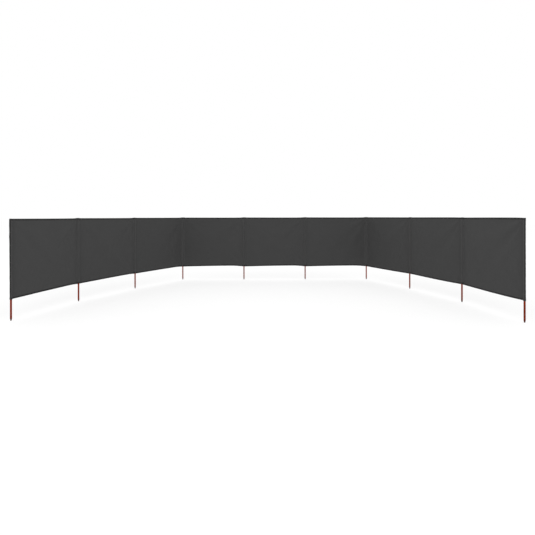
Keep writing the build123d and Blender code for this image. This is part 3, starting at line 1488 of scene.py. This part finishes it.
@dataclass(eq=False)
class PolePocket:
    """A pocket round one pole: a strip of cloth that is sewn on, closed at the top and open at the bottom.

    Between two bays the strip lies on the sheltered side, and its top is turned over the cloth's top edge.
    At the ends of the windbreak it wraps the pole and is sewn to both faces of the cloth. Sizes are in
    metres.
    """

    number: int
    plan: Plan
    run: ClothRun
    cloth: ClothSizes
    lean: float = 0.0
    # How loosely the strip goes round the pole: everywhere, in its slack and in its gathers.
    play: float = 0.0006
    slack: float = 0.0024
    slack_waves: WaveBand = WaveBand(0.10, 0.45, 7)
    most_slack_share: float = 1.2
    # How many times faster the slack changes round the pole than along it.
    slack_across: float = 2.5
    gathers: float = 0.0005
    gather_waves: WaveBand = WaveBand(0.025, 0.06, 6)
    # The mouth's turned edge, and the shares of it that show where the strip is sewn down.
    mouth_lift: float = 0.012
    mouth_hem: float = 0.014
    mouth_fade: float = 0.02
    sewn_share: float = 0.25
    turned_share: float = 0.3
    # The closed top: how it rounds off, how far its middle lies over the cloth's top edge, in
    # thicknesses, and how far it is turned over.
    crown_depth: float = 0.015
    crown_power: int = 4
    top_plies: float = 1.5
    top_turn: float = 0.015
    # The top of an end pocket: its drooping outer corner, its flap, the painted shade along its outer crease
    # and where it closes, with each layer this many thicknesses off the middle.
    corner_droop: float = 0.004
    droop_start_share: float = 0.45
    flap_drop: float = 0.003
    end_crease_shade: float = 0.008
    crease_edge: float = 0.0015
    end_closing: float = 0.018
    shut_plies: float = 0.6
    # Where the seams' stitches lie.
    seam_inset: float = 0.0025
    seam_start: float = 0.003
    seam_stop: float = 0.004
    flap_gap: float = 0.003
    mouth_margin: float = 0.0031
    top_seam_inset: float = 0.002
    top_seam_points: int = 7
    # Where the dense stitches lie: above the mouth, below the top and in from the seam's edges.
    tack_rise: float = 0.005
    tack_drop: float = 0.007
    tack_inset: float = 0.001
    tack_points: int = 3
    # Columns along a seam, from there up to the pole, on a lapped side, and round the pole.
    seam_columns: int = 3
    rising_columns: int = 7
    lapped_columns: int = 7
    round_columns: int = 15
    end_round_columns: int = 27
    # Rows in the mouth's leaf, above its fold between two heights, up the pole, and in the crown.
    leaf_rows: int = 4
    mouth_rows: int = 5
    mouth_rows_start: float = 0.006
    mouth_rows_end: float = 0.030
    body_start: float = 0.04
    body_rows: int = 70
    crown_rows: int = 12
    # Rows over the top edge, round the fold behind it, and down the windy face.
    over_rows: int = 3
    bend_rows: int = 3
    down_start: float = 0.003
    down_rows: int = 4
    flat: tuple[float, float] = field(init=False)

    def __post_init__(self) -> None:
        """Works out what lies beside the pole, and draws what differs from pocket to pocket."""
        cloth = self.cloth
        self.pole = self.run.poles[self.number - 1]
        self.half_wrap = float(self.run.half_wraps[self.number - 1])
        self.at_end = self.run.ends_at(self.number - 1)
        self.arriving = self.number - 2 if self.number > 1 else None
        self.leaving = self.number - 1 if self.number < len(self.run.poles) else None
        self.crown = cloth.crown(self.at_end)
        self.round = self.plan.pole_radius + cloth.clearance + cloth.thickness / 2 + self.play
        self.mouth = self.plan.cloth_bottom + (0.0 if self.at_end else self.mouth_lift)
        rng = np.random.default_rng(POCKET_SEED + self.number)
        self.sagging = Ripples.draw(rng, self.slack_waves)
        self.pull = Ripples.draw(rng, self.gather_waves)

    def sides(self) -> list[tuple[int, int]]:
        """Lists the bays beside the pole, each with the way that leads into it along the run."""
        pairs = ((self.arriving, -1), (self.leaving, 1))
        return [(bay, away) for bay, away in pairs if bay is not None]

    def seam_side(self, bay: int, away: int) -> tuple[Columns, float]:
        """Draws one side of the strip, from its sewn edge up to where it meets the round of the pole.

        Args:
            bay: The bay on that side, counted from 0.
            away: 1 where the bay leaves the pole, -1 where it arrives.

        Returns:
            The columns, and the angle at which the strip meets the pole.
        """
        along, outward = away * self.run.direction(bay), self.run.windward(bay)
        level = self.run.radius - self.cloth.pocket_stack
        lip = np.array([self.cloth.seam_lip, level])
        touch = math.atan2(lip[1], lip[0]) - math.acos(self.round / np.hypot(*lip))
        spot = self.round * np.array([math.cos(touch), math.sin(touch)])
        sewn = np.linspace([self.cloth.seam_end, level], lip, self.seam_columns, endpoint=False)
        rising = np.linspace(lip, spot, self.rising_columns, endpoint=False)
        local = np.concatenate([sewn, rising])
        climb = ease(np.arange(len(rising)) / len(rising), 0, 1)
        loose = np.concatenate([np.zeros(len(sewn)), climb])
        points = self.pole + local[:, :1] * along + local[:, 1:] * outward
        met = math.cos(touch) * along + math.sin(touch) * outward
        columns = Columns(points, loose, np.full(len(local), bay), local[:, 0], np.ones(len(local)))
        return columns, math.atan2(met[1], met[0])

    def lapped_side(self, bay: int, away: int) -> tuple[Columns, float]:
        """Draws the side of an end pocket that lies on the windy face.

        Args:
            bay: The bay on that side, counted from 0.
            away: 1 where the bay leaves the pole, -1 where it arrives.

        Returns:
            The columns, and the angle at which the strip meets the pole.
        """
        along, outward = away * self.run.direction(bay), self.run.windward(bay)
        reach = np.linspace(self.cloth.seam_end, 0, self.lapped_columns, endpoint=False)
        level = self.run.radius + self.cloth.pocket_stack
        points = self.pole + reach[:, None] * along + level * outward
        count = len(reach)
        columns = Columns(points, np.zeros(count), np.full(count, bay), reach, -np.ones(count))
        return columns, math.atan2(outward[1], outward[0])

    def section(self) -> Columns:
        """Draws the pocket's section in plan, from its left seam round the pole to its right seam.

        Returns:
            The columns.
        """
        if self.arriving is None:
            first, begin = self.lapped_side(self.leaving, 1)
        else:
            first, begin = self.seam_side(self.arriving, -1)
        if self.leaving is None:
            last, end = self.lapped_side(self.arriving, -1)
        else:
            last, end = self.seam_side(self.leaving, 1)
        sweep = (end - begin) % (2 * math.pi)
        share = np.linspace(0, 1, self.end_round_columns if self.at_end else self.round_columns)
        angle = begin + share * sweep
        spokes = np.stack([np.cos(angle), np.sin(angle)], axis=-1)
        if self.at_end:
            around = self.end_round(spokes, (share if self.arriving is None else 1 - share) * sweep)
        else:
            around = self.inner_round(spokes, share)
        return Columns.join(first, around, last.turned())

    def inner_round(self, spokes: np.ndarray, share: np.ndarray) -> Columns:
        """Draws the round of a pocket between two bays.

        Args:
            spokes: Directions from the pole's axis.
            share: How far round each spoke is, from 0 to 1.

        Returns:
            The columns.
        """
        before = -self.round * spokes[0] @ self.run.direction(self.arriving)
        after = self.round * spokes[-1] @ self.run.direction(self.leaving)
        place = -(before + self.half_wrap) * (1 - share) + (after + self.half_wrap) * share
        bay = np.where(place < 0, self.arriving, self.leaving)
        ones = np.ones(len(share))
        return Columns(self.pole + self.round * spokes, ones, bay, np.abs(place) - self.half_wrap, ones)

    def end_round(self, spokes: np.ndarray, turn: np.ndarray) -> Columns:
        """Draws the round of an end pocket, which begins on the windy face.

        Args:
            spokes: Directions from the pole's axis.
            turn: How far each spoke is turned from the windy face, in radians.

        Returns:
            The columns.
        """
        (bay, away), = self.sides()
        settled = ease(turn, 0.0, math.pi / 2)
        lapped = self.run.radius + self.cloth.pocket_stack
        points = self.pole + spokes * (lapped + (self.round - lapped) * settled)[:, None]
        reach = (points - self.pole) @ (away * self.run.direction(bay))
        face = np.where(turn < math.pi / 2, -1.0, 1.0)
        return Columns(points, settled, np.full(len(turn), bay), reach, face)

    def pressed(self, columns: Columns, depth: np.ndarray) -> np.ndarray:
        """Finds where the strip's columns lie when the pocket is pressed flat on the cloth.

        Args:
            columns: The strip's columns.
            depth: How far each row lies to the sheltered side of the cloth's middle, or each column of
                each row.

        Returns:
            The points in plan, in rows and columns.
        """
        flat = np.zeros((len(depth), len(columns.reach), 2))
        for bay, away in self.sides():
            there = columns.bay == bay
            reach = columns.reach[there]
            along = reach if away > 0 else self.run.pitches[bay] - reach
            deep = np.broadcast_to(depth, (len(depth), len(there)))[:, there]
            flat[:, there], _ = self.run.place(bay, np.broadcast_to(along, deep.shape), deep)
        return flat

    def rows(self) -> StripRows:
        """Lists the strip's rows, from the turned edge of the mouth up to the closed top.

        Returns:
            The rows; between two bays they end on the windy face, below the top edge.
        """
        cloth, radius = self.cloth, self.cloth.fold_gap / 2
        top = self.plan.cloth_top + self.crown + cloth.thickness * self.top_plies
        hem_line = self.plan.cloth_top - cloth.hem
        leaf = np.linspace(self.mouth_hem, radius, self.leaf_rows)
        turn = cloth.fold_angles()
        above = np.linspace(self.mouth_rows_start, self.mouth_rows_end, self.mouth_rows)
        body = np.linspace(self.mouth + self.body_start, hem_line - cloth.tone_edge, self.body_rows)
        climb = np.sin(np.linspace(0, math.pi / 2, self.crown_rows))
        crown = top - self.crown_depth * (1 - climb)
        shaft = np.concatenate(
            [[self.mouth + radius], self.mouth + above, body, [hem_line + cloth.tone_edge], crown]
        )
        height = np.concatenate([self.mouth + leaf, self.mouth + radius - radius * np.sin(turn), shaft])
        turned = np.concatenate(
            [np.full(len(leaf), 2 * radius), radius + radius * np.cos(turn), np.zeros(len(shaft))]
        )
        rise = np.clip((height - crown[0]) / self.crown_depth, 0, 1)
        full = (1 - rise ** self.crown_power) ** (1 / self.crown_power)
        rows = StripRows(height, turned, full, np.full(len(height), cloth.pocket_stack))
        return rows if self.at_end else StripRows.join(rows, self.turned_top(top))

    def turned_top(self, top: float) -> StripRows:
        """Lists the rows of the strip's top, which is turned over the cloth's top edge.

        Args:
            top: How high the strip's top lies.

        Returns:
            The rows over the edge and down the windy face.
        """
        cloth, radius = self.cloth, self.cloth.fold_gap / 2
        over = -cloth.fold_gap - cloth.pocket_stack
        level = np.linspace(cloth.pocket_stack, over + radius, self.over_rows + 1)[1:]
        bend = np.linspace(0, math.pi / 2, self.bend_rows + 1)[1:]
        down = np.linspace(self.down_start, self.top_turn, self.down_rows)
        depth = np.concatenate([level, over + radius - radius * np.sin(bend), np.full(len(down), over)])
        height = np.concatenate([np.full(len(level), top), top - radius * (1 - np.cos(bend)), top - down])
        return StripRows(height, np.zeros(len(height)), np.zeros(len(height)), depth)

    def at_mouth(self, height: np.ndarray) -> np.ndarray:
        """How far each height lies in the turned edge of the mouth, from 0 to 1."""
        return 1 - ease(height - self.mouth, self.mouth_hem, self.mouth_hem + self.mouth_fade)

    def stand_out(self, columns: Columns, rows: StripRows, beyond: np.ndarray) -> np.ndarray:
        """Works out how far the strip stands off its section, with its slack, gathers and hems.

        Args:
            columns: The strip's columns.
            rows: The strip's rows.
            beyond: How far past the pole each column of an end pocket is, from 0 to 1.

        Returns:
            The distances, in rows and columns.
        """
        gap, hem = self.cloth.fold_gap, self.cloth.hem
        height, loose = rows.height[:, None], columns.loose[None, :]
        across = columns.across()[None, :]
        edge = np.minimum(self.plan.cloth_top - height, height - self.plan.cloth_bottom)
        sagging = self.sagging(across * self.slack_across, height)
        off = self.slack * np.clip((1 + sagging) / 2, 0, self.most_slack_share) * loose
        off = off + self.gathers * self.pull(0.0 * across, height) * hump(loose)
        off = off + gap * self.at_mouth(height) * (self.sewn_share + (1 - self.sewn_share) * loose)
        lapped = (columns.face < 0)[None, :] * (1 - loose)
        off = off + gap * (1 - ease(edge, hem, hem + self.cloth.hem_fade)) * lapped
        off = off + self.lean * self.plan.share_up(height) * beyond
        return off - rows.turned[:, None] * (self.turned_share + (1 - self.turned_share) * loose)

    def closed_depth(self, columns: Columns, rows: StripRows) -> np.ndarray:
        """Works out how deep the strip lies where the pocket's top is pressed shut.

        Args:
            columns: The strip's columns.
            rows: The strip's rows.

        Returns:
            The depths, for each row or for each column of each row.
        """
        depth = rows.depth[:, None]
        if not self.at_end:
            return depth
        cloth = self.cloth
        inside = ease(columns.reach, self.end_closing, cloth.seam_lip)[None, :]
        sandwich = np.where(columns.face < 0, -cloth.fold_gap - cloth.pocket_stack, cloth.pocket_stack)
        shut = columns.face * cloth.thickness * self.shut_plies
        return 0 * depth + shut * (1 - inside) + sandwich * inside

    def build(self) -> bpy.types.Object:
        """Makes the pocket's cloth.

        Returns:
            The sheet.
        """
        cloth, columns, rows = self.cloth, self.section(), self.rows()
        height, across, cut = rows.height[:, None], columns.across(), rows.cut()
        beyond = np.clip(-columns.reach / self.round, 0, 1)[None, :] * self.at_end
        self.outward = columns.outward()
        off = self.stand_out(columns, rows, beyond)
        flat = self.pressed(columns, self.closed_depth(columns, rows))
        free = columns.points[None] + self.outward[None] * off[..., None]
        plan = flat + (free - flat) * rows.full[:, None, None]
        drop = self.crown * (1 - bell(columns.reach, cloth.crown_spread))[None, :]
        drop = drop + self.corner_droop * ease(beyond, self.droop_start_share, 1.0)
        drop = drop + self.flap_drop * ease(columns.reach, self.end_closing, cloth.seam_lip) * self.at_end
        up = self.plan.share_up(height)
        lowered = height - drop * ease(up, cloth.crown_share, 1.0)
        self.grid = np.concatenate([plan, lowered[..., None]], axis=-1)
        self.row_heights = rows.height
        hemmed = np.maximum(self.at_mouth(height), cloth.in_hem(self.plan.cloth_top - height))
        # Painted shade along the end pocket's outer crease, given as darker layered cloth.
        crease = ease(
            beyond * self.round, self.end_crease_shade - self.crease_edge, self.end_crease_shade + self.crease_edge
        )
        run = np.stack(np.broadcast_arrays(across[None, :] + self.number, cut[:, None]), axis=-1)
        widths = np.linalg.norm(np.diff(self.grid, axis=1), axis=2).sum(axis=1)
        self.flat = (float(widths.mean()), float(cut[-1]))
        # The hems, the mouth's turned edge and the end pocket's outer crease get the painted shade of
        # layered cloth.
        layers = cloth.stacked(np.maximum(hemmed, crease))
        return shell(f"pocket_of_pole_{self.number}", self.grid, cloth.thickness, run, layers)

    def seams(self, bays: dict[int, ClothBay]) -> list[Seam]:
        """Lists the pocket's lines of stitches.

        Args:
            bays: The bays by number.

        Returns:
            Two lines along each seam on both faces, one round the mouth, and one along the turned top.
        """
        cloth = self.cloth
        lines = [self.mouth_seam()]
        for bay, away in self.sides():
            for reach in (cloth.seam_lip + self.seam_inset, cloth.seam_end - self.seam_inset):
                for face in Face:
                    plain = face is Face.WINDY and not self.at_end
                    stop = self.top_turn + self.flap_gap if plain else self.seam_stop
                    height = np.arange(
                        self.mouth + self.seam_start, self.plan.cloth_top - stop, cloth.stitch_step
                    )
                    lines.append(self.flat_seam(bays[bay + 1], away, np.array(reach), height, face))
        if not self.at_end:
            lines += [self.top_seam(bays[bay + 1], away) for bay, away in self.sides()]
        return lines

    def top_seam(self, cloth: ClothBay, away: int) -> Seam:
        """Finds the line of stitches that holds the turned top on the windy face.

        Args:
            cloth: The bay beside the pole.
            away: 1 where the bay leaves the pole, -1 where it arrives.

        Returns:
            The line of stitches.
        """
        start = self.cloth.seam_end - self.top_seam_inset
        reach = np.linspace(start, -self.half_wrap, self.top_seam_points)
        height = np.array(self.plan.cloth_top - self.top_turn + self.cloth.stitch_margin)
        line = self.flat_seam(cloth, away, reach, height, Face.WINDY)
        return Seam(line.points + line.normals * self.cloth.pocket_stack, line.normals)

    def flat_seam(
        self, cloth: ClothBay, away: int, reach: np.ndarray, height: np.ndarray, face: Face
    ) -> Seam:
        """Finds a line of stitches where the strip lies flat on the cloth.

        Args:
            cloth: The bay that the strip is sewn to.
            away: 1 where the bay leaves the pole, -1 where it arrives.
            reach: How far into the bay the line is.
            height: How high it is.
            face: The face that the stitches show on.

        Returns:
            The line of stitches.
        """
        along = reach if away > 0 else cloth.pitch - reach
        covered = face is Face.SHELTERED or self.at_end
        stack = self.cloth.pocket_stack if covered else 0.0
        depth = face.value * (self.cloth.thickness / 2 + stack)
        points, inward = cloth.points(along, height, np.array(depth))
        if face is Face.SHELTERED:
            mouth = self.sewn_share * self.cloth.fold_gap * self.at_mouth(height)
            points = points + inward * (mouth - cloth.depth(along, height))[:, None]
        return Seam(points, inward * face.value)

    def mouth_seam(self) -> Seam:
        """Finds the line of stitches that holds the turned edge of the mouth.

        Returns:
            The line of stitches.
        """
        turned = self.leaf_rows + self.cloth.fold_rows
        line = self.mouth + self.mouth_hem - self.mouth_margin
        row = turned + int(np.argmin(np.abs(self.row_heights[turned:] - line)))
        outward = np.concatenate([self.outward, np.zeros((len(self.outward), 1))], axis=1)
        return Seam(self.grid[row] + outward * self.cloth.thickness / 2, outward)

    def tacks(self, bays: dict[int, ClothBay]) -> list[Seam]:
        """Lists short lines for the dense stitches that lock the ends of each seam.

        Args:
            bays: The bays by number.

        Returns:
            The lines, on the sheltered face.
        """
        inner, outer = self.cloth.seam_lip + self.tack_inset, self.cloth.seam_end - self.tack_inset
        reach = np.linspace(inner, outer, self.tack_points)
        lines = []
        for bay, away in self.sides():
            for place in (self.mouth + self.tack_rise, self.plan.cloth_top - self.tack_drop):
                height = np.full(self.tack_points, place)
                lines.append(self.flat_seam(bays[bay + 1], away, reach, height, Face.SHELTERED))
        return lines

    def add(self, finishes: Finishes, bays: dict[int, ClothBay]) -> None:
        """Builds the pocket with its stitches and dresses it.

        Args:
            finishes: The materials and trees.
            bays: The bays by number.
        """
        sheet = self.build()
        sewn = finishes.stitches.sew(f"pocket_stitches_{self.number}", self.seams(bays), LOCK_STITCH)
        tacks = finishes.stitches.sew(f"pocket_tacks_{self.number}", self.tacks(bays), TACK_STITCH)
        dress(sheet, finishes.strip)
        dress(sewn, finishes.thread)
        dress(tacks, finishes.thread)
        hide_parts(f"pocket_{self.number}")


@dataclass(eq=False)
class Windbreak:
    """The whole windbreak: its poles, its bays of cloth and its pockets, from the left end to the right."""

    plan: Plan
    cloth: ClothSizes = ClothSizes()
    # How light each pole's stain is.
    stains: tuple[float, ...] = (1.1, 1.05, 1.15, 1.1, 1.15, 1.1, 1.2, 1.05, 1.1, 0.95)
    hangs: tuple[EdgeHang, ...] = (
        EdgeHang(0.003, 0.010, 0.86),
        EdgeHang(0.003, 0.010, 0.86),
        EdgeHang(0.003, 0.011, 0.84),
        EdgeHang(0.0035, 0.017, 0.80),
        EdgeHang(0.0035, 0.018, 0.81),
        EdgeHang(0.0035, 0.016, 0.79),
        EdgeHang(0.0, -0.002, 0.60),
        EdgeHang(-0.003, -0.004, 0.60),
        EdgeHang(-0.004, -0.006, 0.60),
    )
    # How far the left end pocket's outer edge stands out at its top.
    left_lean: float = 0.006

    def build(self) -> None:
        """Builds and dresses the poles, the bays and the pockets."""
        finishes = Finishes()
        radius = self.plan.pole_radius + self.cloth.clearance + self.cloth.thickness / 2
        run = ClothRun(self.plan.poles, radius)
        for number, stain in enumerate(self.stains, start=1):
            WoodPole(number, self.plan, stain).add(finishes)
        bays = {
            number: ClothBay(number, self.plan, run, self.cloth, hang)
            for number, hang in enumerate(self.hangs, start=1)
        }
        for bay in bays.values():
            bay.add(finishes)
        for number in range(1, len(self.plan.poles) + 1):
            lean = self.left_lean if number == 1 else 0.0
            PolePocket(number, self.plan, run, self.cloth, lean).add(finishes, bays)


@dataclass(frozen=True)
class Lamp:
    """A large soft lamp: where it hangs, in metres, and its strength in watts."""

    name: str
    place: Point
    watts: float


@dataclass(frozen=True)
class Studio:
    """The pale floor, the soft light and the camera at the photograph's viewing angle."""

    image: int = 535
    focal_pixels: float = 426.9
    horizon_row: float = 216.08
    eye: Point = (0.515, -9.307, 1.380)
    roll: float = 0.0017
    sensor_mm: float = 36.0
    view_end: float = 400.0
    floor_side: float = 120.0
    floor_tone: float = 0.82
    floor_glow: float = 1.135
    floor_glow_share: float = 0.6
    sky: float = 0.96
    lamp_size: float = 8.0
    middle: Point = (0.5, -1.2, 0.7)
    lamps: tuple[Lamp, ...] = (
        Lamp("front_lamp", (0.5, -22.0, 9.0), 820),
        Lamp("rear_lamp", (0.4, 16.0, 10.0), 500),
    )

    def camera(self) -> None:
        """Sets a level camera, with the frame shifted down as the photograph's is."""
        data = bpy.data.cameras.new("camera")
        data.sensor_width = self.sensor_mm
        data.lens = self.sensor_mm * self.focal_pixels / self.image
        data.shift_y = (self.horizon_row - self.image / 2) / self.image
        data.clip_end = self.view_end
        eye = bpy.data.objects.new("camera", data)
        eye.location = self.eye
        eye.rotation_euler = (math.pi / 2, self.roll, 0)
        bpy.context.scene.collection.objects.link(eye)
        bpy.context.scene.camera = eye

    def floor(self) -> None:
        """Lays a pale floor that keeps a soft shadow."""
        half = self.floor_side / 2
        corners = [(-half, -half, 0), (half, -half, 0), (half, half, 0), (-half, half, 0)]
        mesh = bpy.data.meshes.new("floor")
        mesh.from_pydata(corners, [], [(0, 1, 2, 3)])
        nodes = MaterialNodes("pale_floor")
        plain = nodes.add("BsdfDiffuse", {"Color": (self.floor_tone, self.floor_tone, self.floor_tone, 1.0)})
        white = nodes.add("Emission", {"Color": (1.0, 1.0, 1.0, 1.0), "Strength": self.floor_glow})
        share = nodes.math("MULTIPLY", nodes.seen(), self.floor_glow_share)
        mixed = nodes.add("MixShader", {0: share, 1: plain.outputs[0], 2: white.outputs[0]})
        mesh.materials.append(nodes.close(mixed))
        add_object("floor", mesh)

    def light(self) -> None:
        """Lights the scene with an even pale sky and the lamps."""
        world = bpy.data.worlds.new("sky")
        bpy.context.scene.world = world
        world.use_nodes = True
        nodes = Nodes(world.node_tree, "ShaderNode")
        strength = nodes.remap(nodes.seen(), 0.0, 1.0, self.sky, 1.0)
        sky = nodes.add("Background", {"Color": (1.0, 1.0, 1.0, 1.0), "Strength": strength})
        nodes.add("OutputWorld", {"Surface": sky.outputs[0]})
        for lamp in self.lamps:
            self.hang(lamp)

    def hang(self, lamp: Lamp) -> None:
        """Hangs a lamp that faces the middle of the windbreak.

        Args:
            lamp: The lamp.
        """
        data = bpy.data.lights.new(lamp.name, "AREA")
        data.shape = "DISK"
        data.size = self.lamp_size
        data.energy = lamp.watts
        hung = bpy.data.objects.new(lamp.name, data)
        hung.location = lamp.place
        hung.rotation_euler = (Vector(self.middle) - Vector(lamp.place)).to_track_quat("-Z", "Y").to_euler()
        bpy.context.scene.collection.objects.link(hung)


def main() -> None:
    """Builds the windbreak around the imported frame, then the studio."""
    logging.basicConfig(level=logging.INFO, format="%(name)s %(message)s")
    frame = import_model()
    Windbreak(Plan.from_frame(frame["nodes"])).build()
    studio = Studio()
    studio.camera()
    studio.floor()
    studio.light()
    bpy.context.scene.view_settings.view_transform = "Standard"
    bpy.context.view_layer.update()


if __name__ == "__main__":
    main()
